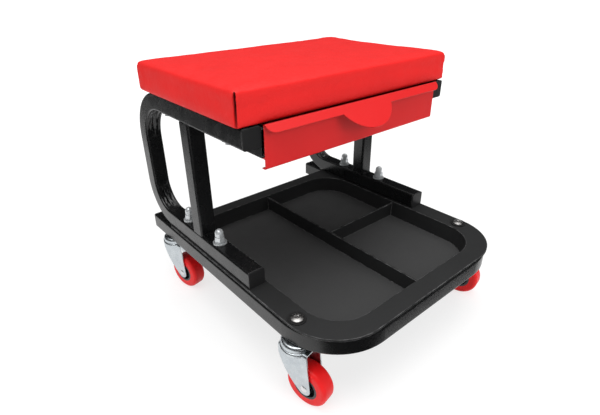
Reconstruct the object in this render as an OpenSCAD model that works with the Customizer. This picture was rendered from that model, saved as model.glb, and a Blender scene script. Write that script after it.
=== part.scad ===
// Low rolling workshop seat: a padded seat over a drawer, on two bent side frames
// that stand on a U-shaped base with a parts tray and four swivel casters.
// Millimetres. +Z is up, the drawer opens towards -Y, and the origin is on the
// floor under the middle of the stool.

/* [Square tube] */
// Outside width of the square steel tube
tube = 25; // [22:0.5:30]
// Wall of the square tube
tube_wall = 1.5; // [1:0.1:2.5]
// Outer radius on the long edges of the tube
tube_corner = 3; // [2.5:0.25:5]

/* [Base frame] */
// Length of the stool, from the front of the base to the back of the side frames
overall_length = 448; // [420:1:500]
// Width over the base frame
base_width = 375; // [370:1:420]
// How far the ends of the base frame stop short of the back of the side frames
base_setback = 6; // [2:1:20]
// Bend radius of the base frame, to the middle of the tube
base_bend = 75; // [60:1:90]

/* [Side frames] */
// How far the side frames stay inside the sides of the base
side_setback = 3.5; // [1:0.5:8]
// Height of a side frame, from under the foot rail to the top of the seat rail
side_height = 218; // [200:1:260]
// Distance from the front of the base to the front of the foot rail's tube
foot_rail_setback = 160; // [145:1:180]
// Bend radius behind the seat, to the middle of the tube
top_bend = 67.5; // [50:0.5:80]
// Bend radius above the foot rail, to the middle of the tube
bottom_bend = 52.5; // [40:0.5:60]
// Distance from the back of the side frame to the back of the post
post_setback = 145; // [135:1:160]

/* [End caps] */
// Thickness of a cap's visible plate
cap_plate = 2; // [1.5:0.25:3]
// Length of the plug inside the tube
cap_plug = 12; // [8:1:16]
// Wall of the hollow plug
cap_wall = 2; // [1.5:0.25:3]

/* [Tray] */
// How far the tray's rim stays inside the sides of the base
rim_setback = 1.5; // [0.5:0.5:4]
// Distance from the front of the base to the front edge of the rim
tray_front_setback = 1; // [0:0.5:5]
// Distance from the ends of the base frame to the back edge of the rim
tray_back_setback = 54; // [50:1:80]
// Thickness of the tray's rim
rim_thick = 3; // [2.5:0.25:4]
// Gap between the base tube and the top edge of the well, along the sides
well_side_gap = 7.5; // [3:0.5:12]
// Gap between the base tube and the top edge of the well, along the front
well_front_gap = 2.5; // [2:0.5:12]
// How much smaller than the inside of the base's bend the well's corner radius is
well_corner_gap = 9.5; // [8:0.5:20]
// Width of the rim along the back
rim_back = 23; // [15:1:30]
// Radius of the rim's front corners
rim_corner = 75; // [60:1:90]
// Radius of the rim's back corners
rim_back_corner = 8; // [4:1:15]
// Wall and floor of the tray
tray_wall = 2; // [1.5:0.1:2.5]
// How far the walls of the well lean inwards down to the floor
tray_taper = 5; // [3:0.5:8]
// How far the tray's underside stays above the underside of the base frame
tray_lift = 0.5; // [0.5:0.5:4]
// Thickness of a divider at its top
divider_top = 3; // [2.5:0.25:5]
// Thickness of a divider at the floor
divider_foot = 6; // [5:0.25:8]
// How far the dividers stop below the rim
divider_drop = 3; // [2:0.5:8]
// Distance from the front wall of the well to the cross divider
cross_divider = 171; // [120:1:220]

/* [Frame bolts] */
// Shank diameter of the bolts that hold the side frames to the base
frame_bolt = 8; // [6:0.5:10]
// Distance from the post's back to the rear bolt
rear_bolt_gap = 33; // [20:1:45]
// Place of the front bolt between the foot rail's front and the post, as a share of that stretch
front_bolt_share = 0.74; // [0.6:0.01:0.75]
// Size of the bolt's hexagon head across its flats
frame_bolt_head = 13; // [11:0.5:16]
// Height of the hexagon head
frame_bolt_head_height = 5.3; // [4:0.1:7]
// Outer diameter of the flat washer
frame_washer = 20; // [17:0.5:24]
// Thickness of the flat washer
frame_washer_thick = 2; // [1.5:0.1:2.5]
// Outer diameter of the spring washer
spring_washer = 14.4; // [13:0.2:17]
// Thickness of the spring washer
spring_washer_thick = 2.1; // [1.5:0.1:3]
// Cut through the spring washer
spring_washer_split = 2; // [1:0.25:3]
// Cap nut's hexagon across its flats
cap_nut = 13; // [12:0.5:17]
// Height of the cap nut's hexagon
cap_nut_hex_height = 7; // [6:0.5:10]
// Diameter of the cap nut's dome
cap_nut_dome = 12; // [11:0.25:15]
// Height of the whole cap nut
cap_nut_height = 18.5; // [16:0.5:24]
// How far the bolt ends short of the bottom of the cap nut's bore
cap_nut_spare = 2; // [1:0.5:3]

/* [Casters] */
// Floor to the underside of the base frame
caster_height = 95; // [90:1:120]
// Wheel diameter
wheel_d = 60; // [50:1:64]
// Wheel width
wheel_width = 23; // [18:0.5:26]
// How far the axle trails behind the swivel axis
caster_trail = 20; // [14:0.5:26]
// How far the casters are turned at rest, from wheels that trail straight to the front
caster_turn = 12; // [0:1:45]
// How far the swivel axes lie inside the middle of the base tube
caster_inset = 2.5; // [0:0.5:4]
// Distance from the front of the base to the front swivel axes
front_caster_setback = 76; // [70:1:90]
// Gap between the tray's rim and the heads of the rear caster bolts
rear_caster_gap = 2; // [1:0.5:6]
// Shank diameter of the caster bolt
caster_bolt = 10; // [8:0.5:10]
// How far the caster bolt reaches through its nut
caster_bolt_tip = 1.6; // [0.5:0.1:4]
// Diameter of the caster bolt's low round head
caster_bolt_head = 16; // [14:0.5:18]
// Hexagon socket in the bolt's head, across its flats
caster_bolt_socket = 6; // [5:0.5:8]
// Share of the bolt's head that is domed
caster_head_dome_share = 0.75; // [0.5:0.05:0.9]
// Outer diameter of the black washer on the tray
tray_washer = 23; // [20:0.5:26]
// Thickness of the black washer
tray_washer_thick = 1.5; // [1:0.25:2.5]
// Caster nut across its flats
caster_nut = 16; // [15:0.5:17]
// Height of the caster nut
caster_nut_height = 8; // [6:0.5:9]
// Gap between the balls and the wall of the cup
cup_ball_gap = 1; // [0.5:0.1:2]
// Gap between the cup's rim and the fork
cup_fork_gap = 0.5; // [0.3:0.1:1]
// Thickness of the cup's plate
cup_plate = 2.5; // [2:0.1:2.6]
// Wall of the cup
cup_wall = 2; // [1.5:0.1:2.2]
// Sheet steel of the fork
fork_steel = 2; // [1.5:0.1:2.2]
// Bearing ball diameter
ball_d = 7; // [6:0.1:8]
// Space from one ball to the next
ball_space = 0.5; // [0.3:0.1:2]
// Radius of the ball ring
ball_ring = 14.5; // [13:0.1:16]
// How deep the balls lie in the grooves of cup and fork
race_depth = 0.6; // [0.4:0.05:0.7]
// How far the fork's round top reaches past the cup
fork_top_edge = 1.5; // [0.5:0.25:3]
// Depth of the skirt round the fork's top
fork_skirt = 5; // [3:0.5:8]
// Fork leg from the swivel axis to its front edge
fork_front = 24; // [20:0.5:27]
// Fork leg from the swivel axis to its back edge
fork_back = 19; // [17:0.5:22]
// Height of the straight stretch of the leg's back edge
fork_back_height = 15; // [10:1:20]
// Radius of the fork leg's tip
fork_tip = 9.5; // [8:0.5:11]
// Radius of the leg's rounded back edge, from its straight stretch down to the tip
fork_back_round = 90; // [70:5:140]
// Radius of the bend between the fork's top and its legs
fork_bend = 4; // [3:0.5:6]
// Axle rivet diameter
axle = 6; // [5:0.5:8]
// Diameter of the rivet's formed heads
axle_head = 10; // [9:0.5:12]
// Height of the rivet's formed heads
axle_head_height = 1.6; // [1:0.1:2.5]
// Wall of the sleeve on which the wheel turns
sleeve_wall = 1.5; // [1:0.1:2]
// Outer radius of the wheel's core
hub_r = 17.5; // [15:0.5:20]
// Rim of the wheel's core
hub_rim = 3; // [2:0.25:4]
// Radius of the boss round the axle
hub_boss = 8; // [7.5:0.25:10]
// Thickness of the web between boss and rim
hub_web = 7; // [5:0.5:12]
// Rounding of the tyre's shoulders
tread_shoulder = 5; // [3:0.5:7]

/* [Seat] */
// How far the cushion reaches past the side frames
seat_overhang = 5; // [2:0.5:15]
// Depth of the seat cushion, front to back
seat_depth = 250; // [240:1:280]
// Thickness of the cushion at its edge
seat_thick = 40; // [36:1:55]
// How much higher the middle of the cushion is than its edge
seat_crown = 5; // [2:0.5:12]
// Distance from the back of the side frames to the back of the cushion
seat_back_setback = 46; // [20:1:60]
// How far the seat rails and their caps reach past the front of the cushion
seat_rail_reach = 3; // [0:0.5:8]
// Corner radius of the cushion, seen from above
seat_corner = 18; // [14:1:30]
// Rolled top edge
seat_top_edge = 11; // [8:1:14]
// Rounding where the cover turns under the board
seat_bottom_edge = 5; // [4:0.5:7]
// How far the long edges draw in halfway between the corners
seat_draw_in = 2; // [0:0.25:4]
// Thickness of the vinyl cover
cover_thick = 1.2; // [0.8:0.1:2]
// Width of the cover that is turned under the board
cover_flap = 32; // [26:1:40]
// Thickness of the plywood seat board
board_thick = 12; // [9:0.5:15]
// How far the board's edge stays inside the cushion's outline
board_inset = 5.5; // [5:0.5:10]
// Shank diameter of the seat bolts
seat_bolt = 6; // [5:0.5:6.5]
// Seat bolt's hexagon across its flats
seat_bolt_head = 10; // [9:0.5:13]
// Height of the seat bolt's head
seat_bolt_head_height = 4; // [3:0.25:5]
// Outer diameter of the seat bolt's washer
seat_washer = 18; // [14:0.5:20]
// Thickness of the seat bolt's washer
seat_washer_thick = 1.6; // [1:0.1:2]
// Distance from the cushion's front to the front seat bolts
seat_bolt_setback = 45; // [35:1:70]
// Distance from the bend of the seat rail to the rear seat bolts
seat_bolt_bend_gap = 11; // [10:0.5:30]
// Flange diameter of the tee nuts in the board
tee_nut_flange = 19; // [16:0.5:22]
// Thickness of the tee nut's flange
tee_nut_flange_thick = 1.4; // [1:0.1:2]
// Outer diameter of the tee nut's barrel
tee_nut_barrel = 8; // [7.5:0.25:9]
// How far the tee nut's barrel ends above the underside of the board
tee_nut_recess = 1.6; // [0.5:0.1:3]

/* [Drawer] */
// How far the ends of the drawer's front stay inside the seat rails
drawer_front_inset = 1; // [0.5:0.5:6]
// Height of the drawer's front
drawer_front_height = 54; // [48:1:60]
// How far the drawer's front stands above the seat rails
drawer_front_rise = 2; // [0:0.5:5]
// Gap between the seat rails' caps and the drawer's front
drawer_front_gap = 3; // [2:0.5:6]
// Sheet steel of the drawer
drawer_sheet = 1.2; // [0.8:0.1:1.6]
// Inner bend radius of the sheet steel
sheet_bend = 1.2; // [1:0.1:2]
// Depth of the return along the bottom of the drawer's front
drawer_return = 7; // [5:0.5:10]
// Length of the sloping lip along the top of the drawer's front
lip_length = 11; // [8:0.5:16]
// Angle between the lip and the drawer's front
lip_angle = 45; // [30:1:60]
// Width of the pull tab where it leaves the lip
tab_width = 90; // [60:1:120]
// How far the pull tab reaches beyond the lip
tab_reach = 28; // [20:1:34]
// Space for runner and slide, between the seat rail and the drawer's box
runner_space = 9; // [7:0.5:14]
// Depth of the drawer's box, front to back
drawer_box_depth = 225; // [200:1:235]
// How far the top of the drawer's box stays below the cushion
drawer_top_gap = 5; // [3:0.5:10]
// How far the box's bottom is above the bottom of the drawer's front
drawer_box_lift = 7; // [5:0.5:10]
// Corner radius of the drawer's box
drawer_box_corner = 3; // [2:0.5:6]
// Sheet steel of the runners
runner_sheet = 1.5; // [1:0.1:2]
// Height of a runner
runner_height = 36; // [32:0.5:38]
// How far the top of a runner stays below the cushion
runner_drop = 3; // [1:0.5:5]

/* [Fits] */
// Clearance round a fixed bolt
bolt_gap = 0.2; // [0.1:0.05:0.4]
// Clearance between a thread's plain bore and its bolt
thread_gap = 0.05; // [0.02:0.01:0.1]
// Radial clearance of a part that turns on its shaft
running_gap = 0.08; // [0.03:0.01:0.1]
// Clearance between balls and their races
ball_gap = 0.1; // [0.05:0.05:0.2]
// Clearance of flat faces that move past each other
slide_gap = 0.3; // [0.2:0.05:0.5]
// Clearance between soft pieces
soft_gap = 0.3; // [0.2:0.05:0.5]
// Clearance between wheel and fork on each side
wheel_gap = 1; // [0.75:0.25:2]
// Clearance of an end cap's plug in its tube
plug_gap = 0.1; // [0.05:0.05:0.3]
// How far the heads of the caster bolts stay below the top of the tray's rim
head_gap = 0.2; // [0.1:0.05:0.5]
// Clearance between a fork and the nut under it
fork_gap = 0.2; // [0.1:0.05:0.4]

/* [Hidden] */
$fn = 64;
// How far a cutting shape reaches past what it cuts
cut_over = 1;
// Thickness of the slices between which a sloping wall is spanned
sliver = 0.1;
// Heights of the stack, from the floor up
base_z = caster_height;
rim_z = base_z + tube;
foot_z = rim_z + rim_thick;
foot_top_z = foot_z + tube;
seat_rail_top_z = foot_z + side_height;
seat_rail_z = seat_rail_top_z - tube;
seat_z = seat_rail_top_z;
board_z = seat_z + cover_thick;
board_top_z = board_z + board_thick;

// Lengthwise places, along Y
front_y = -overall_length / 2;
back_y = overall_length / 2;
base_back_y = back_y - base_setback;
tray_front_y = front_y + tray_front_setback;
tray_back_y = base_back_y - tray_back_setback;
leg_y = back_y - tube / 2;
seat_back_y = back_y - seat_back_setback;
seat_front_y = seat_back_y - seat_depth;
seat_rail_front_y = seat_front_y - seat_rail_reach + cap_plate;
foot_rail_front_y = front_y + foot_rail_setback;
post_y = back_y - post_setback - tube / 2;
rear_bolt_y = post_y + tube / 2 + rear_bolt_gap;
front_bolt_y = foot_rail_front_y + front_bolt_share * (post_y - tube / 2 - foot_rail_front_y);
front_caster_y = front_y + front_caster_setback;
rear_caster_y = tray_back_y + rear_caster_gap + caster_bolt_head / 2;
front_seat_bolt_y = seat_front_y + seat_bolt_setback;
rear_seat_bolt_y = leg_y - top_bend - seat_bolt_bend_gap;

// Half widths, along X
base_x = (base_width - tube) / 2;
side_x = base_x - side_setback;
caster_x = base_x - caster_inset;
rail_inner_x = side_x - tube / 2;

// Square tube
tube_inside = tube - 2 * tube_wall;
tube_inner_corner = tube_corner - tube_wall;

// Tray's well
tray_width = base_width - 2 * rim_setback;
well_width = base_width - 2 * (tube + well_side_gap);
well_front_y = front_y + tube + well_front_gap;
well_back_y = tray_back_y - rim_back;
well_corner = base_bend - tube / 2 - well_corner_gap;
well_bottom_z = base_z + tray_lift;
well_floor_z = well_bottom_z + tray_wall;

// Cap nuts: underside, and depth of the bore up to the dome
cap_nut_z = foot_top_z + frame_washer_thick + spring_washer_thick;
cap_nut_bore = cap_nut_height - cap_nut_dome / 2;

// Caster bearing, from the base frame down
ball_count = floor(2 * PI * ball_ring / (ball_d + ball_space));
race_r = ball_d / 2 + ball_gap;
ball_z = base_z - cup_plate - race_r + race_depth;
fork_z = ball_z - race_r + race_depth;
fork_under_z = fork_z - fork_steel;
caster_nut_z = fork_under_z - fork_gap - caster_nut_height;
caster_bolt_end_z = caster_nut_z - caster_bolt_tip;
cup_r = ball_ring + ball_d / 2 + cup_ball_gap + cup_wall;
cup_height = base_z - fork_z - cup_fork_gap;
fork_top_r = cup_r + fork_top_edge;
axle_z = wheel_d / 2;
fork_inside = wheel_width + 2 * wheel_gap;
fork_width = fork_inside + 2 * fork_steel;
caster_head_height = rim_thick - head_gap;
sleeve_r = axle / 2 + thread_gap + sleeve_wall;

// Seat
seat_width = 2 * (side_x + tube / 2 + seat_overhang);
seat_y = seat_front_y + seat_depth / 2;
seat_bolt_top_z = board_top_z - tee_nut_flange_thick;
tee_nut_length = board_thick - tee_nut_flange_thick - tee_nut_recess;

// Drawer
drawer_top_z = seat_rail_top_z + drawer_front_rise;
drawer_bottom_z = drawer_top_z - drawer_front_height;
drawer_face_y = seat_rail_front_y - cap_plate - drawer_front_gap - drawer_sheet;
drawer_inner_y = drawer_face_y + drawer_sheet;
drawer_front_width = 2 * (rail_inner_x - drawer_front_inset);
drawer_box_width = 2 * (rail_inner_x - runner_space);
drawer_box_z = drawer_bottom_z + drawer_box_lift;
drawer_box_height = seat_z - drawer_top_gap - drawer_box_z;
runner_z = seat_z - runner_drop - runner_height;
runner_front_y = drawer_inner_y + drawer_sheet + 2 * sheet_bend + drawer_sheet;
runner_back_y = drawer_inner_y + drawer_box_depth;

// Cushion's outline and profile
corner_steps = 6;
side_steps = 4;
edge_steps = 4;
crown_shares = [0.88, 0.7, 0.45, 0.2];
ring_points = 4 * (corner_steps + side_steps);

left = -1;
right = 1;
front = -1;
rear = 1;

// Places of the casters' swivel axes, the frame bolts and the seat bolts
function caster_place(side, end) = [side * caster_x, end == front ? front_caster_y : rear_caster_y];
caster_places = [for (side = [left, right], end = [front, rear]) caster_place(side, end)];
frame_bolt_places = [for (side = [left, right], y = [front_bolt_y, rear_bolt_y]) [side * side_x, y]];
seat_bolt_places =
    [for (side = [left, right], y = [front_seat_bolt_y, rear_seat_bolt_y]) [side * side_x, y]];

// Flat shapes
module rounded_rectangle(width, depth, radius) {
    square([width - 2 * radius, depth], center = true);
    square([width, depth - 2 * radius], center = true);
    for (x = [-1, 1], y = [-1, 1])
        translate([x * (width / 2 - radius), y * (depth / 2 - radius)]) circle(radius);
}

// Rectangle between two Y values with one radius at the front corners and one at the back
module tray_outline(width, y0, y1, front_radius, back_radius) {
    half = width / 2;
    for (x = [-1, 1]) {
        translate([x * (half - front_radius), y0 + front_radius]) circle(front_radius);
        translate([x * (half - back_radius), y1 - back_radius]) circle(back_radius);
    }
    translate([front_radius - half, y0]) square([width - 2 * front_radius, y1 - y0]);
    translate([-half, y0 + front_radius]) square([width, y1 - y0 - front_radius - back_radius]);
    translate([back_radius - half, y1 - 2 * back_radius])
        square([width - 2 * back_radius, 2 * back_radius]);
}

module hexagon(flats) {
    circle(d = flats / cos(30), $fn = 6);
}

module at_places(places, z) {
    for (place = places) translate([place.x, place.y, z]) children();
}

module drill(places, radius, z, depth) {
    at_places(places, z - cut_over) cylinder(r = radius, h = depth + 2 * cut_over);
}

// Square tube: cross-section, straight stretch along Z, and quarter bend about Z
module tube_section() {
    difference() {
        rounded_rectangle(tube, tube, tube_corner);
        rounded_rectangle(tube_inside, tube_inside, tube_inner_corner);
    }
}

module tube_run(length) {
    linear_extrude(length) tube_section();
}

module tube_bend(radius) {
    rotate_extrude(angle = 90) translate([radius, 0]) tube_section();
}

// U of bent tube, open at the back
module base_tube() {
    bend_x = base_x - base_bend;
    bend_y = front_y + tube / 2 + base_bend;
    for (side = [left, right])
        translate([side * base_x, bend_y, 0]) rotate([-90, 0, 0]) tube_run(base_back_y - bend_y);
    translate([-bend_x, front_y + tube / 2, 0]) rotate([0, 90, 0]) tube_run(2 * bend_x);
    translate([bend_x, bend_y, 0]) rotate([0, 0, -90]) tube_bend(base_bend);
    translate([-bend_x, bend_y, 0]) rotate([0, 0, 180]) tube_bend(base_bend);
}

module base_frame() {
    color("#1c1d1e") difference() {
        translate([0, 0, base_z + tube / 2]) base_tube();
        drill(frame_bolt_places, frame_bolt / 2 + bolt_gap, base_z, tube);
        drill(caster_places, caster_bolt / 2 + bolt_gap, base_z, tube);
    }
}

// C of bent tube, drawn in the plane of its bends: x runs to the back, y runs up
module side_tube() {
    foot_centre = foot_z + tube / 2;
    rail_centre = seat_rail_top_z - tube / 2;
    low = foot_centre + bottom_bend;
    high = rail_centre - top_bend;
    translate([leg_y, low, 0]) rotate([-90, 0, 0]) tube_run(high - low);
    translate([leg_y - top_bend, high, 0]) tube_bend(top_bend);
    translate([leg_y - bottom_bend, low, 0]) rotate([0, 0, -90]) tube_bend(bottom_bend);
    translate([seat_rail_front_y, rail_centre, 0])
        rotate([0, 90, 0]) tube_run(leg_y - top_bend - seat_rail_front_y);
    translate([foot_rail_front_y, foot_centre, 0])
        rotate([0, 90, 0]) tube_run(leg_y - bottom_bend - foot_rail_front_y);
}

module side_frame(side) {
    color("#1c1d1e") difference() {
        translate([side * side_x, 0, 0]) rotate([90, 0, 90]) side_tube();
        drill(frame_bolt_places, frame_bolt / 2 + bolt_gap, foot_z, tube);
        drill(seat_bolt_places, seat_bolt / 2 + bolt_gap, seat_rail_z, tube);
    }
}

module post(side) {
    color("#1c1d1e") translate([side * side_x, post_y, foot_top_z]) tube_run(seat_rail_z - foot_top_z);
}

// Hollow plastic plug with a plate that covers the end of the tube
module end_cap(place, facing) {
    plug = tube_inside - 2 * plug_gap;
    color("#101112") translate(place) rotate([facing * -90, 0, 0]) {
        linear_extrude(cap_plate) rounded_rectangle(tube, tube, tube_corner);
        difference() {
            translate([0, 0, -cap_plug])
                linear_extrude(cap_plug) rounded_rectangle(plug, plug, tube_inner_corner);
            translate([0, 0, -cap_plug - cut_over])
                linear_extrude(cap_plug + cut_over) square(plug - 2 * cap_wall, center = true);
        }
    }
}

module base_cap(side) {
    end_cap([side * base_x, base_back_y, base_z + tube / 2], rear);
}

module seat_rail_cap(side) {
    end_cap([side * side_x, seat_rail_front_y, seat_rail_top_z - tube / 2], front);
}

module foot_rail_cap(side) {
    end_cap([side * side_x, foot_rail_front_y, foot_z + tube / 2], front);
}

// A block with leaning walls: the tray's well outside, or the space in it
module well_block(grow, bottom, top) {
    depth = foot_z - well_bottom_z;
    module slice(z) {
        lean = tray_taper * (foot_z - z) / depth - grow;
        translate([0, 0, z]) linear_extrude(sliver) tray_outline(
            well_width - 2 * lean, well_front_y + lean, well_back_y - lean,
            well_corner - lean, well_corner - lean, $fn = 36);
    }
    hull() {
        slice(bottom);
        slice(top - sliver);
    }
}

// Upright rib that is thicker at the floor, standing along X
module divider(length) {
    foot = divider_foot / 2;
    top = divider_top / 2;
    height = foot_z - divider_drop - well_floor_z;
    rotate([90, 0, 90]) translate([0, 0, -length / 2]) linear_extrude(length)
        polygon([
            [-foot, -tray_wall / 2], [foot, -tray_wall / 2], [foot, 0],
            [top, height], [-top, height], [-foot, 0]
        ]);
}

module dividers() {
    middle_y = (well_front_y + well_back_y) / 2;
    translate([0, middle_y, well_floor_z]) rotate([0, 0, 90]) divider(well_back_y - well_front_y);
    translate([well_width / 4, well_front_y + cross_divider, well_floor_z]) divider(well_width / 2);
}

module tray() {
    color("#232425") difference() {
        union() {
            difference() {
                union() {
                    translate([0, 0, rim_z]) linear_extrude(rim_thick)
                        tray_outline(tray_width, tray_front_y, tray_back_y, rim_corner, rim_back_corner);
                    well_block(tray_wall, well_bottom_z, foot_z - rim_thick / 2);
                }
                well_block(0, well_floor_z, foot_z + cut_over);
            }
            intersection() {
                dividers();
                well_block(tray_wall / 2, well_bottom_z + tray_wall / 2, foot_z);
            }
        }
        drill(frame_bolt_places, frame_bolt / 2 + bolt_gap, rim_z, rim_thick);
        drill(caster_places, caster_bolt / 2 + bolt_gap, rim_z, rim_thick);
    }
}

// Hexagon bolts from under the base up through the foot rails
module frame_bolts() {
    end_z = cap_nut_z + cap_nut_bore - cap_nut_spare;
    color("silver") at_places(frame_bolt_places, base_z) {
        cylinder(d = frame_bolt, h = end_z - base_z);
        translate([0, 0, -frame_bolt_head_height])
            linear_extrude(frame_bolt_head_height) hexagon(frame_bolt_head);
    }
}

module frame_washers() {
    color("silver") difference() {
        at_places(frame_bolt_places, foot_top_z) cylinder(d = frame_washer, h = frame_washer_thick);
        drill(frame_bolt_places, frame_bolt / 2 + bolt_gap, foot_top_z, frame_washer_thick);
    }
}

module spring_washers() {
    z = foot_top_z + frame_washer_thick;
    color("silver") at_places(frame_bolt_places, z) difference() {
        cylinder(d = spring_washer, h = spring_washer_thick);
        translate([0, 0, -cut_over])
            cylinder(r = frame_bolt / 2 + bolt_gap, h = spring_washer_thick + 2 * cut_over);
        translate([0, -spring_washer_split / 2, -cut_over])
            cube([spring_washer, spring_washer_split, spring_washer_thick + 2 * cut_over]);
    }
}

module cap_nuts() {
    color("silver") at_places(frame_bolt_places, cap_nut_z) difference() {
        union() {
            linear_extrude(cap_nut_hex_height) hexagon(cap_nut);
            cylinder(d = cap_nut_dome, h = cap_nut_bore);
            translate([0, 0, cap_nut_bore]) sphere(d = cap_nut_dome);
        }
        translate([0, 0, -cut_over]) cylinder(r = frame_bolt / 2 + thread_gap, h = cap_nut_bore + cut_over);
    }
}

// Low-headed bolt from a height down through the caster's nut
// Low dome on a flat round base
module dome(width, height) {
    dome_r = (width * width / 4 + height * height) / (2 * height);
    intersection() {
        translate([0, 0, height - dome_r]) sphere(dome_r);
        cylinder(d = width, h = height);
    }
}

module caster_bolt_at(place, head_z) {
    length = head_z - caster_bolt_end_z;
    dome_height = caster_head_height * caster_head_dome_share;
    edge_height = caster_head_height - dome_height;
    translate([place.x, place.y, head_z]) difference() {
        union() {
            translate([0, 0, edge_height]) dome(caster_bolt_head, dome_height);
            cylinder(d = caster_bolt_head, h = edge_height);
            translate([0, 0, -length]) cylinder(d = caster_bolt, h = length);
        }
        translate([0, 0, caster_head_height / 2])
            linear_extrude(caster_head_height) hexagon(caster_bolt_socket);
    }
}

// The front pair holds the tray too. The rear pair lies behind the tray, under the foot rails' bends.
module caster_bolts() {
    color("silver") for (side = [left, right]) {
        caster_bolt_at(caster_place(side, front), foot_z + tray_washer_thick);
        caster_bolt_at(caster_place(side, rear), rim_z);
    }
}

module tray_washers() {
    places = [for (side = [left, right]) caster_place(side, front)];
    color("#101112") difference() {
        at_places(places, foot_z) cylinder(d = tray_washer, h = tray_washer_thick);
        drill(places, caster_bolt / 2 + bolt_gap, foot_z, tray_washer_thick);
    }
}

module caster_nuts() {
    color("silver") difference() {
        at_places(caster_places, caster_nut_z) linear_extrude(caster_nut_height) hexagon(caster_nut);
        drill(caster_places, caster_bolt / 2 + thread_gap, caster_nut_z, caster_nut_height);
    }
}

module caster_balls() {
    color("silver") at_places(caster_places, ball_z)
        for (i = [0:ball_count - 1])
            rotate([0, 0, 360 * i / ball_count]) translate([ball_ring, 0, 0]) sphere(d = ball_d);
}

// Ring-shaped space of the balls, which leaves a groove in the cup and in the fork
module ball_race() {
    rotate_extrude() translate([ball_ring, ball_z]) circle(race_r);
}

// Turned-over dish: half its cross-section, from the axis outwards, with a rounded shoulder
module dish_section(radius, top, height, plate, wall, shoulder) {
    difference() {
        translate([0, top - height]) {
            square([radius - shoulder, height]);
            square([radius, height - shoulder]);
            translate([radius - shoulder, height - shoulder]) circle(shoulder);
        }
        translate([-radius, top - height - shoulder])
            square([2 * radius - wall, height - plate + shoulder]);
    }
}

// Pressed cup, fixed under the base frame
module caster_cup(side, end) {
    color("lightgray") translate(concat(caster_place(side, end), 0)) difference() {
        rotate_extrude() dish_section(cup_r, base_z, cup_height, cup_plate, cup_wall, 2 * cup_wall);
        ball_race();
        cylinder(r = caster_bolt / 2 + bolt_gap, h = base_z + cut_over);
    }
}

// Children in a caster's own frame, with its swivel axis as Z
module at_caster(side, end) {
    translate(concat(caster_place(side, end), 0)) rotate([0, 0, caster_turn]) children();
}

// Children along a caster's axle, with the middle of the wheel as their origin
module at_axle(side, end) {
    at_caster(side, end) translate([0, -caster_trail, axle_z]) rotate([0, 90, 0]) children();
}

// Middle of the arc that runs round a circle from outside it and passes through a point
function arc_middle(centre, radius, point, arc_r) =
    let (
        gap = point - centre,
        reach = norm(gap),
        way = gap / reach,
        inner_r = arc_r - radius,
        along = (reach * reach + inner_r * inner_r - arc_r * arc_r) / (2 * reach),
        aside = sqrt(inner_r * inner_r - along * along)
    )
    centre + along * way + aside * [-way.y, way.x];

// Where a straight line from a point touches a circle. turn is 1 or -1 for the two sides.
function touch_point(point, centre, radius, turn) =
    let (gap = point - centre, reach = norm(gap), bearing = atan2(gap.y, gap.x))
    centre + radius * [for (trig = [0, 1])
        let (angle = bearing + turn * acos(radius / reach)) trig == 0 ? cos(angle) : sin(angle)];

// Fork seen from the side: x runs to the back, y runs up
module fork_side() {
    tip = [-caster_trail, axle_z];
    front_corner = [-fork_front, fork_under_z];
    back_corner = [fork_back, fork_z - fork_back_height];
    middle = arc_middle(tip, fork_tip, back_corner, fork_back_round);
    arc_end = tip + fork_tip * (tip - middle) / norm(tip - middle);
    translate(tip) circle(fork_tip);
    intersection() {
        translate(middle) circle(fork_back_round);
        polygon([
            [-fork_front, fork_z], front_corner, touch_point(front_corner, tip, fork_tip, 1), tip,
            arc_end, [fork_back, arc_end.y], [fork_back, fork_z]
        ]);
    }
}

// Fork seen from the front: a U turned over, with bent corners
module fork_section() {
    difference() {
        translate([0, fork_z / 2]) rounded_rectangle(fork_width, fork_z, fork_bend);
        translate([0, fork_z / 2 - fork_steel])
            rounded_rectangle(fork_inside, fork_z, fork_bend - fork_steel);
    }
}

// Round top with a short skirt, which runs over into the two legs
module fork(side, end) {
    color("lightgray") at_caster(side, end) difference() {
        union() {
            intersection() {
                rotate([90, 0, 90]) translate([0, 0, -fork_width / 2])
                    linear_extrude(fork_width) fork_side();
                translate([0, fork_z, 0]) rotate([90, 0, 0])
                    linear_extrude(2 * fork_z) fork_section();
            }
            rotate_extrude()
                dish_section(fork_top_r, fork_z, fork_skirt, fork_steel, fork_steel, fork_steel);
        }
        ball_race();
        cylinder(r = caster_bolt / 2 + running_gap, h = fork_z + cut_over);
        translate([-fork_width, -caster_trail, axle_z]) rotate([0, 90, 0])
            cylinder(r = axle / 2 + thread_gap, h = 2 * fork_width);
    }
}

module axle_rivet(side, end) {
    half = fork_width / 2;
    color("silver") at_axle(side, end) {
        translate([0, 0, -half]) cylinder(d = axle, h = fork_width);
        translate([0, 0, half]) dome(axle_head, axle_head_height);
        mirror([0, 0, 1]) translate([0, 0, half]) dome(axle_head, axle_head_height);
    }
}

module axle_sleeve(side, end) {
    color("gray") at_axle(side, end) translate([0, 0, -fork_inside / 2]) difference() {
        cylinder(r = sleeve_r, h = fork_inside);
        translate([0, 0, -cut_over])
            cylinder(r = axle / 2 + thread_gap, h = fork_inside + 2 * cut_over);
    }
}

// Black core: rim, web and boss, turned about the axle
module hub(side, end) {
    bore = sleeve_r + running_gap;
    half = wheel_width / 2;
    color("#15171a") at_axle(side, end) rotate_extrude() {
        translate([bore, -half]) square([hub_boss - bore, wheel_width]);
        translate([hub_boss, -hub_web / 2]) square([hub_r - hub_boss, hub_web]);
        translate([hub_r - hub_rim, -half]) square([hub_rim, wheel_width]);
    }
}

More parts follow.
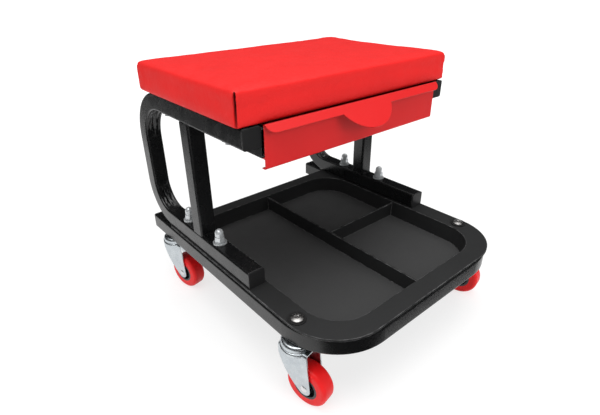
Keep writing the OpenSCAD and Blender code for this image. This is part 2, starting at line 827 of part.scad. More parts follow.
// Red tread moulded round the core, with rounded shoulders
module tyre(side, end) {
    outer = wheel_d / 2;
    half = wheel_width / 2;
    color("#c8141b") at_axle(side, end) rotate_extrude() {
        translate([hub_r, -half]) square([outer - tread_shoulder - hub_r, wheel_width]);
        translate([hub_r, tread_shoulder - half])
            square([outer - hub_r, wheel_width - 2 * tread_shoulder]);
        for (y = [-1, 1])
            translate([outer - tread_shoulder, y * (half - tread_shoulder)]) circle(tread_shoulder);
    }
}

// How far the cushion's long edges draw in at a height. Along the board they are straight.
function drawn_in(z) =
    seat_draw_in * max(0, min(1, (z - seat_bottom_edge) / (seat_thick - seat_top_edge - seat_bottom_edge)));

// One closed outline of the cushion. inset moves it in, share shrinks it towards the middle
// and rise lifts its middle.
function cushion_ring(inset, share, z, rise = 0) =
    let (
        half_x = seat_width / 2 - inset,
        half_y = seat_depth / 2 - inset,
        radius = max(seat_corner - inset / 2, seat_corner / 4),
        flat_x = half_x - radius,
        flat_y = half_y - radius
    )
    [for (quarter = [0:3], step = [0:corner_steps + side_steps - 1])
        let (
            angle = 90 * (quarter + min(step, corner_steps) / corner_steps),
            sign_x = quarter == 0 || quarter == 3 ? 1 : -1,
            sign_y = quarter < 2 ? 1 : -1,
            along = 2 * max(0, step - corner_steps) / side_steps,
            corner_x = sign_x * flat_x * (quarter % 2 == 0 ? 1 - along : 1),
            corner_y = sign_y * flat_y * (quarter % 2 == 1 ? 1 - along : 1),
            x = corner_x + radius * cos(angle),
            y = corner_y + radius * sin(angle),
            pulled_x = x * share * (1 - drawn_in(z) / half_x * (1 - pow(y / half_y, 2))),
            pulled_y = y * share * (1 - drawn_in(z) / half_y * (1 - pow(x / half_x, 2)))
        )
        [pulled_x, pulled_y,
            z + rise * (1 - pow(share * x / half_x, 2)) * (1 - pow(share * y / half_y, 2))]];

// Outlines from the cushion's side up to its crown, on a skin that lies depth below the surface
function upper_rings(depth) =
    let (edge = seat_top_edge - depth, top = seat_thick - depth)
    concat(
        [for (step = [0:edge_steps])
            let (angle = 90 * step / edge_steps)
            cushion_ring(depth + edge * (1 - cos(angle)), 1, top - edge * (1 - sin(angle)))],
        [for (share = crown_shares) cushion_ring(seat_top_edge, share, top, seat_crown)]);

// Outlines from under the board round the bottom edge, on a skin that lies depth below the surface
function lower_rings(depth) =
    let (edge = seat_bottom_edge - depth)
    concat(
        [cushion_ring(cover_flap, 1, depth)],
        [for (step = [0:edge_steps])
            let (angle = 90 * step / edge_steps)
            cushion_ring(depth + edge * (1 - sin(angle)), 1, depth + edge * (1 - cos(angle)))]);

function crown_point(depth) = [0, 0, seat_thick - depth + seat_crown];

// Face or, for the inside of a skin, the same face seen from behind
function facing(face, outward) = outward ? face : [face[0], face[2], face[1]];

// Triangles between ring number a and the next higher ring number b of a list of points
function ring_strip(a, b, outward = true) =
    [for (i = [0:ring_points - 1], upper = [true, false])
        let (
            j = (i + 1) % ring_points,
            here = a * ring_points + i,
            above = b * ring_points + j,
            third = upper ? b * ring_points + i : a * ring_points + j
        )
        facing(upper ? [here, third, above] : [here, above, third], outward)];

// Triangles from a ring to one point
function ring_fan(a, point, outward) =
    [for (i = [0:ring_points - 1])
        facing([point, a * ring_points + (i + 1) % ring_points, a * ring_points + i], outward)];

module seat_cover() {
    outside = concat(lower_rings(0), upper_rings(0));
    inside = concat(lower_rings(cover_thick), upper_rings(cover_thick));
    count = len(outside);
    rings = concat(outside, inside);
    first_crown = 2 * count * ring_points;
    points = concat([for (ring = rings) each ring], [crown_point(0), crown_point(cover_thick)]);
    outer_faces = [for (k = [0:count - 2]) each ring_strip(k, k + 1)];
    inner_faces = [for (k = [0:count - 2]) each ring_strip(count + k, count + k + 1, false)];
    color("#c8141b") difference() {
        translate([0, seat_y, seat_z]) polyhedron(
            points = points,
            faces = concat(
                outer_faces,
                ring_fan(count - 1, first_crown, true),
                inner_faces,
                ring_fan(2 * count - 1, first_crown + 1, false),
                ring_strip(0, count, false)),
            convexity = 6);
        drill(seat_bolt_places, seat_bolt / 2 + bolt_gap, seat_z, cover_thick);
    }
}

module seat_foam() {
    depth = cover_thick + soft_gap;
    bottom = board_top_z - seat_z;
    rings = concat([cushion_ring(depth, 1, bottom)], upper_rings(depth));
    count = len(rings);
    last = count * ring_points;
    points = concat([for (ring = rings) each ring], [crown_point(depth), [0, 0, bottom]]);
    color("khaki") translate([0, seat_y, seat_z]) polyhedron(
        points = points,
        faces = concat(
            [for (k = [0:count - 2]) each ring_strip(k, k + 1)],
            ring_fan(count - 1, last, true),
            ring_fan(0, last + 1, false)),
        convexity = 4);
}

module seat_board() {
    corner = seat_corner - board_inset;
    color("burlywood") difference() {
        translate([0, seat_y, board_z]) linear_extrude(board_thick)
            rounded_rectangle(seat_width - 2 * board_inset, seat_depth - 2 * board_inset, corner);
        drill(seat_bolt_places, tee_nut_barrel / 2 + bolt_gap, board_z, board_thick);
        at_places(seat_bolt_places, board_top_z - tee_nut_flange_thick)
            cylinder(r = tee_nut_flange / 2 + bolt_gap, h = tee_nut_flange_thick + cut_over);
    }
}

module seat_bolts() {
    head_z = seat_rail_z - seat_washer_thick;
    color("silver") at_places(seat_bolt_places, head_z) {
        cylinder(d = seat_bolt, h = seat_bolt_top_z - head_z);
        translate([0, 0, -seat_bolt_head_height])
            linear_extrude(seat_bolt_head_height) hexagon(seat_bolt_head);
    }
}

module seat_washers() {
    z = seat_rail_z - seat_washer_thick;
    color("silver") difference() {
        at_places(seat_bolt_places, z) cylinder(d = seat_washer, h = seat_washer_thick);
        drill(seat_bolt_places, seat_bolt / 2 + bolt_gap, z, seat_washer_thick);
    }
}

module tee_nuts() {
    barrel_z = seat_bolt_top_z - tee_nut_length;
    color("silver") difference() {
        union() {
            at_places(seat_bolt_places, seat_bolt_top_z)
                cylinder(d = tee_nut_flange, h = tee_nut_flange_thick);
            at_places(seat_bolt_places, barrel_z) cylinder(d = tee_nut_barrel, h = tee_nut_length);
        }
        drill(seat_bolt_places, seat_bolt / 2 + thread_gap, barrel_z,
              tee_nut_length + tee_nut_flange_thick);
    }
}

// C channel, open towards the drawer, fixed to the inside of the seat rail and the post
module drawer_runner(side) {
    depth = runner_space - slide_gap - drawer_sheet;
    color("#1c1d1e") translate([side * rail_inner_x, runner_front_y, runner_z])
        rotate([-90, 0, 0]) linear_extrude(runner_back_y - runner_front_y)
            mirror([side == right ? 1 : 0, 0]) mirror([0, 1]) difference() {
                square([depth, runner_height]);
                translate([runner_sheet, runner_sheet]) square([depth, runner_height - 2 * runner_sheet]);
            }
}

// C channel on the drawer's side, open outwards, that slides in the runner
module drawer_slide(side) {
    box_x = drawer_box_width / 2;
    depth = runner_space - runner_sheet - slide_gap;
    height = runner_height - 2 * runner_sheet - 2 * slide_gap;
    color("#b3b6b8") translate([side * box_x, runner_front_y, runner_z + runner_sheet + slide_gap])
        rotate([-90, 0, 0]) linear_extrude(runner_back_y - runner_front_y)
            mirror([side == left ? 1 : 0, 0]) mirror([0, 1]) difference() {
                square([depth, height]);
                translate([drawer_sheet, drawer_sheet]) square([depth, height - 2 * drawer_sheet]);
            }
}

// Drawer box of folded sheet steel, open at the top
module drawer_box() {
    middle_y = drawer_inner_y + drawer_box_depth / 2;
    inner_corner = drawer_box_corner - drawer_sheet;
    color("#c8141b") difference() {
        translate([0, middle_y, drawer_box_z]) linear_extrude(drawer_box_height)
            rounded_rectangle(drawer_box_width, drawer_box_depth, drawer_box_corner);
        translate([0, middle_y, drawer_box_z + drawer_sheet]) linear_extrude(drawer_box_height)
            rounded_rectangle(
                drawer_box_width - 2 * drawer_sheet, drawer_box_depth - 2 * drawer_sheet, inner_corner);
    }
}

// Ring segment of bent sheet about the origin, from one angle to another
module sheet_bend_section(from, to) {
    outer = sheet_bend + drawer_sheet;
    reach = 2 * outer;
    middle = (from + to) / 2;
    intersection() {
        difference() {
            circle(outer);
            circle(sheet_bend);
        }
        polygon([
            [0, 0], reach * [cos(from), sin(from)],
            reach * [cos(middle), sin(middle)], reach * [cos(to), sin(to)]
        ]);
    }
}

// Section of the drawer's front: x runs to the back from the front of the sheet, y runs up
// and is zero at the top
module drawer_front_section() {
    outer = sheet_bend + drawer_sheet;
    low = outer - drawer_front_height;
    translate([0, low]) square([drawer_sheet, -outer - low]);
    translate([-sheet_bend, -outer]) sheet_bend_section(0, 180 - lip_angle);
    translate([outer, low]) sheet_bend_section(180, 270);
    translate([outer, -drawer_front_height]) square([drawer_return - outer, drawer_sheet]);
}

// Lip and pull tab, flat: x runs along the drawer, y runs from the bend to the free edge
module lip_outline() {
    half = drawer_front_width / 2;
    tab_half = tab_width / 2;
    tab_r = (tab_half * tab_half + tab_reach * tab_reach) / (2 * tab_reach);
    square_width = drawer_front_width - 2 * lip_length;
    translate([-square_width / 2, 0]) square([square_width, lip_length]);
    for (x = [-1, 1]) intersection() {
        translate([x * (half - lip_length), 0]) circle(lip_length);
        translate([-half, 0]) square([drawer_front_width, lip_length]);
    }
    intersection() {
        translate([0, lip_length + tab_reach - tab_r]) circle(tab_r);
        translate([-tab_half, 0]) square([tab_width, lip_length + tab_reach]);
    }
}

module drawer_front() {
    outer = sheet_bend + drawer_sheet;
    color("#c8141b") translate([0, drawer_face_y, drawer_top_z]) {
        translate([-drawer_front_width / 2, 0, 0]) rotate([90, 0, 90])
            linear_extrude(drawer_front_width) drawer_front_section();
        translate([0, -sheet_bend, -outer]) rotate([270 - lip_angle, 0, 0])
            translate([0, 0, -outer]) linear_extrude(drawer_sheet) lip_outline();
    }
}

base_frame();
base_cap(left);  // base_cap_left
base_cap(right);  // base_cap_right
side_frame(left);  // side_frame_left
side_frame(right);  // side_frame_right
post(left);  // post_left
post(right);  // post_right
seat_rail_cap(left);  // seat_rail_cap_left
seat_rail_cap(right);  // seat_rail_cap_right
foot_rail_cap(left);  // foot_rail_cap_left
foot_rail_cap(right);  // foot_rail_cap_right
tray();
frame_bolts();
frame_washers();
spring_washers();
cap_nuts();
caster_bolts();
tray_washers();
caster_nuts();
caster_balls();
caster_cup(left, front);  // caster_cup_front_left
caster_cup(right, front);  // caster_cup_front_right
caster_cup(left, rear);  // caster_cup_rear_left
caster_cup(right, rear);  // caster_cup_rear_right
seat_board();
seat_foam();
seat_cover();
seat_bolts();
seat_washers();
tee_nuts();
drawer_runner(left);  // drawer_runner_left
drawer_runner(right);  // drawer_runner_right
drawer_front();
drawer_box();
drawer_slide(left);  // drawer_slide_left
drawer_slide(right);  // drawer_slide_right
fork(left, front);  // fork_front_left
fork(right, front);  // fork_front_right
fork(left, rear);  // fork_rear_left
fork(right, rear);  // fork_rear_right
axle_rivet(left, front);  // axle_front_left
axle_rivet(right, front);  // axle_front_right
axle_rivet(left, rear);  // axle_rear_left
axle_rivet(right, rear);  // axle_rear_right
axle_sleeve(left, front);  // sleeve_front_left
axle_sleeve(right, front);  // sleeve_front_right
axle_sleeve(left, rear);  // sleeve_rear_left
axle_sleeve(right, rear);  // sleeve_rear_right
hub(left, front);  // hub_front_left
hub(right, front);  // hub_front_right
hub(left, rear);  // hub_rear_left
hub(right, rear);  // hub_rear_right
tyre(left, front);  // tyre_front_left
tyre(right, front);  // tyre_front_right
tyre(left, rear);  // tyre_rear_left
tyre(right, rear);  // tyre_rear_right
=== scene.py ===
import math

import bpy
from mathutils import Matrix, Vector, noise


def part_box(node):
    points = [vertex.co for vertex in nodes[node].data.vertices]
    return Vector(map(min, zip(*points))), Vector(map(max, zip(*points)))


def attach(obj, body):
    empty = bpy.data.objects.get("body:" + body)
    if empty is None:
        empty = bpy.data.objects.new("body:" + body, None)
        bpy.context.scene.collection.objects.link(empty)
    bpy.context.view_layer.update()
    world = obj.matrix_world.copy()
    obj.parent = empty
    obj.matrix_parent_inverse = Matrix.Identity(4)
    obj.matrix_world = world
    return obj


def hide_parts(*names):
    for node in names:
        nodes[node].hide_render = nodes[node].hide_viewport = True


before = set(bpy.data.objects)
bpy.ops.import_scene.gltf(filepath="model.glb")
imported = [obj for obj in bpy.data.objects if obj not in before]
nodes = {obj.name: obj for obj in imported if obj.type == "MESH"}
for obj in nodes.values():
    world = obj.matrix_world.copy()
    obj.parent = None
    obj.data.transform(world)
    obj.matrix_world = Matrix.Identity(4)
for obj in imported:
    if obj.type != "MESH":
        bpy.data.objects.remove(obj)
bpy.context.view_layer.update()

# A creeper seat: a padded seat over a drawer, on bent square-tube frames that stand on a
# U-shaped base with a parts tray and four casters. Metres, in the same frame as the solids.
bpy.ops.object.select_all(action="DESELECT")


# Studio: a white paper floor that runs on behind the seat, one large lamp above and softer
# ones at the front and the left, screens of black felt that only the shine of the finishes
# shows, and a camera a little above the seat's front left corner.
def shader_node(tree, kind, inputs=None, **settings):
    """A node with its settings, and with each named input either linked or set to a value."""
    made = tree.nodes.new(kind)
    for setting, value in settings.items():
        setattr(made, setting, value)
    for socket, source in (inputs or {}).items():
        if isinstance(source, bpy.types.NodeSocket):
            tree.links.new(source, made.inputs[socket])
        else:
            made.inputs[socket].default_value = source
    return made


def any_ray(tree, *kinds):
    """1 for light paths of these kinds, 0 for all others."""
    rays = shader_node(tree, "ShaderNodeLightPath")
    share = rays.outputs[kinds[0]]
    for kind in kinds[1:]:
        either = shader_node(tree, "ShaderNodeMath", {0: share, 1: rays.outputs[kind]}, operation="MAXIMUM")
        share = either.outputs[0]
    return share


def soft_lamp(name, place, aim, size, power):
    """A square lamp that looks at a point."""
    light = bpy.data.lights.new(name, "AREA")
    light.shape = "SQUARE"
    light.size = size
    light.energy = power
    lamp = bpy.data.objects.new(name, light)
    lamp.location = place
    lamp.rotation_euler = (Vector(aim) - Vector(place)).to_track_quat("-Z", "Y").to_euler()
    bpy.context.collection.objects.link(lamp)
    return lamp


floor_size = 60.0
bpy.ops.mesh.primitive_plane_add(size=floor_size, location=(0, 0, 0))
floor = bpy.context.object
floor.name = "studio_floor"
paper = bpy.data.materials.new("white_paper")
paper.use_nodes = True
tree = paper.node_tree
tree.nodes.clear()
place = shader_node(tree, "ShaderNodeTexCoord")
away = shader_node(tree, "ShaderNodeVectorMath", {0: place.outputs["Object"]}, operation="LENGTH")
near_glow = 0.7
near_distance = 0.5
far_glow = 1.0
far_distance = 1.8
fade = shader_node(tree, "ShaderNodeMapRange",
                   {"Value": away.outputs["Value"], "From Min": near_distance, "From Max": far_distance,
                    "To Min": near_glow, "To Max": far_glow}, interpolation_type="SMOOTHSTEP")
shaded_white = 0.38
paper_white = 0.86
lit = shader_node(tree, "ShaderNodeBsdfDiffuse", {"Color": (shaded_white, shaded_white, shaded_white, 1)})
glow = shader_node(tree, "ShaderNodeEmission", {"Color": (1, 1, 1, 1), "Strength": fade.outputs[0]})
shown = shader_node(tree, "ShaderNodeAddShader", {0: lit.outputs[0], 1: glow.outputs[0]})
plain = shader_node(tree, "ShaderNodeBsdfDiffuse", {"Color": (paper_white, paper_white, paper_white, 1)})
seen = any_ray(tree, "Is Camera Ray", "Is Glossy Ray", "Is Transmission Ray")
both = shader_node(tree, "ShaderNodeMixShader", {0: seen, 1: plain.outputs[0], 2: shown.outputs[0]})
shader_node(tree, "ShaderNodeOutputMaterial", {"Surface": both.outputs[0]})
floor.data.materials.append(paper)

world = bpy.data.worlds.new("studio_air")
bpy.context.scene.world = world
world.use_nodes = True
tree = world.node_tree
tree.nodes.clear()
air_light = 0.5
air_shown = 1.0
seen = any_ray(tree, "Is Camera Ray", "Is Glossy Ray", "Is Transmission Ray")
strength = shader_node(tree, "ShaderNodeMapRange", {"Value": seen, "To Min": air_light, "To Max": air_shown})
air = shader_node(tree, "ShaderNodeBackground",
                  {"Color": (1, 1, 1, 1), "Strength": strength.outputs["Result"]})
shader_node(tree, "ShaderNodeOutputWorld", {"Surface": air.outputs[0]})

aim = (0, 0, 0.2)
soft_lamp("top_lamp", (-0.3, -0.2, 2.3), aim, size=1.8, power=31)
front_lamp = soft_lamp("front_lamp", (0.6, -2.2, 1.3), aim, size=1.4, power=18)
left_lamp = soft_lamp("left_lamp", (-2.1, 0.1, 0.9), aim, size=1.4, power=8)
front_lamp.visible_glossy = False
left_lamp.visible_glossy = False

felt = bpy.data.materials.new("black_felt")
felt.use_nodes = True
shader = felt.node_tree.nodes["Principled BSDF"]
shader.inputs["Base Color"].default_value = (0.015, 0.015, 0.016, 1)
shader.inputs["Roughness"].default_value = 1.0
bpy.ops.mesh.primitive_cylinder_add(vertices=96, radius=2.7, depth=2.9, location=(0, 0, 1.6),
                                    end_fill_type="NOTHING")
bpy.context.object.name = "ring_screen"
screens = [bpy.context.object]
lying_height = 0.002
for name, size, x, y in (("front_screen", 2.2, 0.85, -1.38), ("left_screen", 3.6, -2.3, 0.9),
                         ("corner_screen", 0.5, -0.32, -0.485)):
    bpy.ops.mesh.primitive_plane_add(size=size, location=(x, y, lying_height))
    bpy.context.object.name = name
    screens.append(bpy.context.object)
for screen in screens:
    screen.data.materials.append(felt)
    screen.visible_camera = False
    screen.visible_diffuse = False
    screen.visible_shadow = False
    screen.visible_transmission = False

heading = math.radians(40.18)
tilt = math.radians(27.94)
roll = math.radians(-0.61)
camera_place = (-0.4277, -0.4579, 0.4864)
lens = 26.39
ahead = Vector((math.sin(heading) * math.cos(tilt), math.cos(heading) * math.cos(tilt), -math.sin(tilt)))
across = Vector((math.cos(heading), -math.sin(heading), 0))
upright = across.cross(ahead)
rolled_across = math.cos(roll) * across + math.sin(roll) * upright
rolled_up = math.cos(roll) * upright - math.sin(roll) * across
camera = bpy.data.objects.new("camera", bpy.data.cameras.new("camera"))
camera.data.lens = lens
turn = Matrix((rolled_across, rolled_up, -ahead)).transposed().to_4x4()
camera.matrix_world = Matrix.Translation(camera_place) @ turn
bpy.context.collection.objects.link(camera)
bpy.context.scene.camera = camera
bpy.context.scene.view_settings.view_transform = "Standard"


# Base frame: a U of 25 mm square steel tube, bent at the front corners and open at the back.
# It is powder coated satin black, with a fine grain and rounded edges, along which a highlight is painted.
def node_group(name, inputs, outputs):
    """An empty group with its sockets, and its input and output nodes."""
    group = bpy.data.node_groups.new(name, "ShaderNodeTree")
    for label, kind, value in inputs:
        socket = group.interface.new_socket(name=label, in_out="INPUT", socket_type=kind)
        if value is not None:
            socket.default_value = value
    for label, kind in outputs:
        group.interface.new_socket(name=label, in_out="OUTPUT", socket_type=kind)
    return group, group.nodes.new("NodeGroupInput").outputs, group.nodes.new("NodeGroupOutput")


def soft_edges():
    """Rounded edges for the light, and a mask of the edges, broken into patches, for a painted highlight."""
    group, given, out = node_group(
        "soft edges",
        [("Radius", "NodeSocketFloat", 0.0006), ("Breakup Size", "NodeSocketFloat", 0.01)],
        [("Normal", "NodeSocketVector"), ("Edge", "NodeSocketFloat")])
    rounded = shader_node(group, "ShaderNodeBevel", {"Radius": given["Radius"]}, samples=6)
    flat = shader_node(group, "ShaderNodeNewGeometry")
    turn = shader_node(group, "ShaderNodeVectorMath", {0: rounded.outputs[0], 1: flat.outputs["Normal"]},
                       operation="DOT_PRODUCT")
    edge = shader_node(group, "ShaderNodeMapRange",
                       {"Value": turn.outputs["Value"], "From Min": 0.99, "From Max": 0.9})
    place = shader_node(group, "ShaderNodeTexCoord")
    rate = shader_node(group, "ShaderNodeMath", {0: 1.0, 1: given["Breakup Size"]}, operation="DIVIDE")
    patches = shader_node(group, "ShaderNodeTexNoise",
                          {"Vector": place.outputs["Object"], "Scale": rate.outputs[0], "Detail": 3.0})
    broken = shader_node(group, "ShaderNodeMapRange",
                         {"Value": patches.outputs["Fac"], "From Min": 0.35, "From Max": 0.65})
    both = shader_node(group, "ShaderNodeMath", {0: edge.outputs[0], 1: broken.outputs[0]},
                       operation="MULTIPLY")
    group.links.new(rounded.outputs[0], out.inputs["Normal"])
    group.links.new(both.outputs[0], out.inputs["Edge"])
    return group


def fine_grain():
    """Bumps of the grain of a coat or a mould."""
    group, given, out = node_group(
        "fine grain",
        [("Size", "NodeSocketFloat", 0.0008), ("Depth", "NodeSocketFloat", 0.00004),
         ("Normal", "NodeSocketVector", None)],
        [("Normal", "NodeSocketVector")])
    place = shader_node(group, "ShaderNodeTexCoord")
    rate = shader_node(group, "ShaderNodeMath", {0: 1.0, 1: given["Size"]}, operation="DIVIDE")
    grain = shader_node(group, "ShaderNodeTexNoise",
                        {"Vector": place.outputs["Object"], "Scale": rate.outputs[0], "Detail": 2.0,
                         "Roughness": 0.6})
    raised = shader_node(group, "ShaderNodeBump",
                         {"Strength": 1.0, "Distance": given["Depth"], "Height": grain.outputs["Fac"],
                          "Normal": given["Normal"]})
    group.links.new(raised.outputs[0], out.inputs["Normal"])
    return group


def cloudiness():
    """Large soft patches, for a finish that isn't even all over."""
    group, given, out = node_group(
        "cloudiness",
        [("Size", "NodeSocketFloat", 0.05), ("Low", "NodeSocketFloat", 0.0),
         ("High", "NodeSocketFloat", 1.0)],
        [("Value", "NodeSocketFloat")])
    place = shader_node(group, "ShaderNodeTexCoord")
    rate = shader_node(group, "ShaderNodeMath", {0: 1.0, 1: given["Size"]}, operation="DIVIDE")
    clouds = shader_node(group, "ShaderNodeTexNoise",
                         {"Vector": place.outputs["Object"], "Scale": rate.outputs[0], "Detail": 4.0})
    ranged = shader_node(group, "ShaderNodeMapRange",
                         {"Value": clouds.outputs["Fac"], "From Min": 0.3, "From Max": 0.7,
                          "To Min": given["Low"], "To Max": given["High"]})
    group.links.new(ranged.outputs[0], out.inputs["Value"])
    return group


edges_group = soft_edges()
grain_group = fine_grain()
clouds_group = cloudiness()


def placed(tree, group, **inputs):
    """A group in a material, with its own values."""
    made = shader_node(tree, "ShaderNodeGroup", node_tree=group)
    for label, value in inputs.items():
        socket = made.inputs[label.replace("_", " ").title()]
        if isinstance(value, bpy.types.NodeSocket):
            tree.links.new(value, socket)
        else:
            socket.default_value = value
    return made.outputs


def mixed_colour(tree, share, low, high):
    """A colour that goes from one to another over the surface."""
    mix = shader_node(tree, "ShaderNodeMix", data_type="RGBA")
    tree.links.new(share, mix.inputs[0])
    for socket, colour in ((mix.inputs[6], low), (mix.inputs[7], high)):
        if isinstance(colour, bpy.types.NodeSocket):
            tree.links.new(colour, socket)
        else:
            socket.default_value = (*colour, 1)
    return mix.outputs[2]


def finish_of(name, colour, cloud_colour, edge_highlight_colour, roughness, edge_radius=0.0006, cloud_size=0.05,
              grain_size=0.0008, grain_depth=0.00004, **shader_values):
    """A surface with grain, soft patches, and a highlight painted along its edges."""
    material = bpy.data.materials.new(name)
    material.use_nodes = True
    tree = material.node_tree
    shader = tree.nodes["Principled BSDF"]
    edges = placed(tree, edges_group, radius=edge_radius)
    grain = placed(tree, grain_group, size=grain_size, depth=grain_depth, normal=edges["Normal"])
    clouds = placed(tree, clouds_group, size=cloud_size)
    gloss = placed(tree, clouds_group, size=cloud_size / 3, low=roughness[0], high=roughness[1])
    body = mixed_colour(tree, clouds["Value"], colour, cloud_colour)
    # The edge colour is a painted highlight, mixed into the base colour along the edges.
    tree.links.new(mixed_colour(tree, edges["Edge"], body, edge_highlight_colour), shader.inputs["Base Color"])
    tree.links.new(gloss["Value"], shader.inputs["Roughness"])
    tree.links.new(grain["Normal"], shader.inputs["Normal"])
    for label, value in shader_values.items():
        shader.inputs[label.replace("_", " ")].default_value = value
    return material


def give(names, material):
    """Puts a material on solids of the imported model."""
    for name in names:
        nodes[name].material_slots[0].material = material


powder_coat = finish_of("powder_coat", (0.005, 0.0052, 0.0055), (0.007, 0.0072, 0.0075), (0.2, 0.2, 0.203),
                        (0.22, 0.3), edge_radius=0.001, grain_size=0.0009)
give(["base_frame"], powder_coat)

# End caps: moulded plastic plugs pushed into the open ends of the tubes, with a plate that
# covers the end.
cap_plastic = finish_of("cap_plastic", (0.012, 0.012, 0.0125), (0.016, 0.016, 0.0165), (0.05, 0.05, 0.05),
                        (0.42, 0.52), edge_radius=0.0007, grain_size=0.0005, grain_depth=0.00003)
give(["base_cap_left", "base_cap_right", "foot_rail_cap_left", "foot_rail_cap_right",
      "seat_rail_cap_left", "seat_rail_cap_right"], cap_plastic)

# Side frames: each is one length of square tube bent twice into a C, with its inner wall
# pressed in and rippled where it was bent, and coated like the base.
tube = 0.025
tube_wall = 0.0015
tube_corner = 0.003
frame_low, frame_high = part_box("side_frame_left")
foot_centre = frame_low.z + tube / 2
rail_centre = frame_high.z - tube / 2
leg_centre = frame_high.y - tube / 2
cap_plate = 0.002
rail_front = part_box("seat_rail_cap_left")[0].y + cap_plate
foot_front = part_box("foot_rail_cap_left")[0].y + cap_plate
top_bend = 0.0675
bottom_bend = 0.0525
bend_steps = 56
ripple_cuts = 13
touching = 0.00001


def extruded(by):
    """Draws the selected edges out into walls."""
    bpy.ops.mesh.extrude_region_move(TRANSFORM_OT_translate={"value": by})


def quarter_bend(centre_y, centre_z, x):
    """Takes the open end of the tube round a quarter circle."""
    bpy.ops.mesh.spin(steps=bend_steps, angle=-math.pi / 2, center=(x, centre_y, centre_z), axis=(1, 0, 0))


def bent_tube(name, x):
    """Square tube along the foot rail, up the leg and back along the seat rail, without its wall."""
    bpy.ops.mesh.primitive_plane_add(size=tube, location=(x, foot_front, foot_centre),
                                     rotation=(math.pi / 2, 0, 0))
    piece = bpy.context.object
    piece.name = name
    bpy.ops.object.transform_apply(location=True, rotation=True, scale=True)
    bpy.ops.object.mode_set(mode="EDIT")
    bpy.ops.mesh.select_all(action="SELECT")
    bpy.ops.mesh.bevel(offset=tube_corner, segments=4, affect="VERTICES")
    bpy.ops.mesh.select_all(action="DESELECT")
    bpy.ops.object.mode_set(mode="OBJECT")
    top = foot_centre + tube / 2
    for edge in piece.data.edges:
        ends = [piece.data.vertices[i].co for i in edge.vertices]
        edge.select = all(abs(end.z - top) < touching for end in ends)
    bpy.ops.object.mode_set(mode="EDIT")
    bpy.ops.mesh.select_mode(type="EDGE")
    bpy.ops.mesh.subdivide(number_cuts=ripple_cuts)
    bpy.ops.mesh.select_all(action="SELECT")
    bpy.ops.mesh.delete(type="ONLY_FACE")
    bpy.ops.mesh.select_all(action="SELECT")
    extruded((0, leg_centre - bottom_bend - foot_front, 0))
    quarter_bend(leg_centre - bottom_bend, foot_centre + bottom_bend, x)
    extruded((0, 0, rail_centre - top_bend - foot_centre - bottom_bend))
    quarter_bend(leg_centre - top_bend, rail_centre - top_bend, x)
    extruded((0, rail_front - leg_centre + top_bend, 0))
    bpy.ops.mesh.select_all(action="SELECT")
    bpy.ops.mesh.remove_doubles(threshold=touching)
    bpy.ops.mesh.normals_make_consistent(inside=False)
    bpy.ops.object.mode_set(mode="OBJECT")
    return piece


press_depth = 0.0019
ridge_depth = 0.001
dent_depth = 0.0018
ridge_rate = 7.5
ridge_sway = 2.2
sway_rate = 45
dent_rate_across = 2.2
dent_rate_along = 70
onset_rate = 6


def rippled(piece, x, centre_y, centre_z, bend, start, seed):
    """Presses in the inner wall of a bend. start is the angle at which the bend begins."""
    inner = bend - tube / 2 + 0.0002
    half = tube / 2 - tube_corner
    for vertex in piece.data.vertices:
        out = Vector((0, vertex.co.y - centre_y, vertex.co.z - centre_z))
        share = (math.atan2(out.z, out.y) - start) / (math.pi / 2)
        if not 0 < share < 1 or out.length > inner or abs(vertex.co.x - x) > half:
            continue
        across = (vertex.co.x - x) / half
        along = share * bend * math.pi / 2
        fade = (1 - across * across) * min(1, onset_rate * share, onset_rate * (1 - share))
        sway = noise.noise(Vector((0, along * sway_rate, seed)))
        ridge = math.cos(ridge_rate * across + ridge_sway * sway)
        dent = noise.noise(Vector((across * dent_rate_across, along * dent_rate_along, seed)))
        depth = press_depth + ridge_depth * ridge + dent_depth * dent
        vertex.co += out.normalized() * depth * fade


def smoothed(piece, angle):
    """Smooth over its rounded edges, with the flat faces left flat."""
    bpy.context.view_layer.objects.active = piece
    piece.select_set(True)
    bpy.ops.object.shade_smooth_by_angle(angle=math.radians(angle))
    flat = piece.modifiers.new("flat_faces", "WEIGHTED_NORMAL")
    flat.keep_sharp = True
    bpy.ops.object.modifier_apply(modifier="flat_faces")
    bpy.ops.object.select_all(action="DESELECT")


def walled(piece):
    """Gives the tube the thickness of its wall, inwards."""
    wall = piece.modifiers.new("wall", "SOLIDIFY")
    wall.thickness = tube_wall
    wall.offset = -1
    bpy.context.view_layer.objects.active = piece
    bpy.ops.object.modifier_apply(modifier="wall")
    smoothed(piece, 35)


for side, seed in (("left", 1.7), ("right", 5.2)):
    low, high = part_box("side_frame_" + side)
    x = (low.x + high.x) / 2
    side_tube = bent_tube("bent_side_frame_" + side, x)
    rippled(side_tube, x, leg_centre - bottom_bend, foot_centre + bottom_bend, bottom_bend,
            start=-math.pi / 2, seed=seed)
    rippled(side_tube, x, leg_centre - top_bend, rail_centre - top_bend, top_bend,
            start=0, seed=seed + 2)
    walled(side_tube)
    side_tube.data.materials.append(powder_coat)
    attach(side_tube, "frame")
    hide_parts("side_frame_" + side)

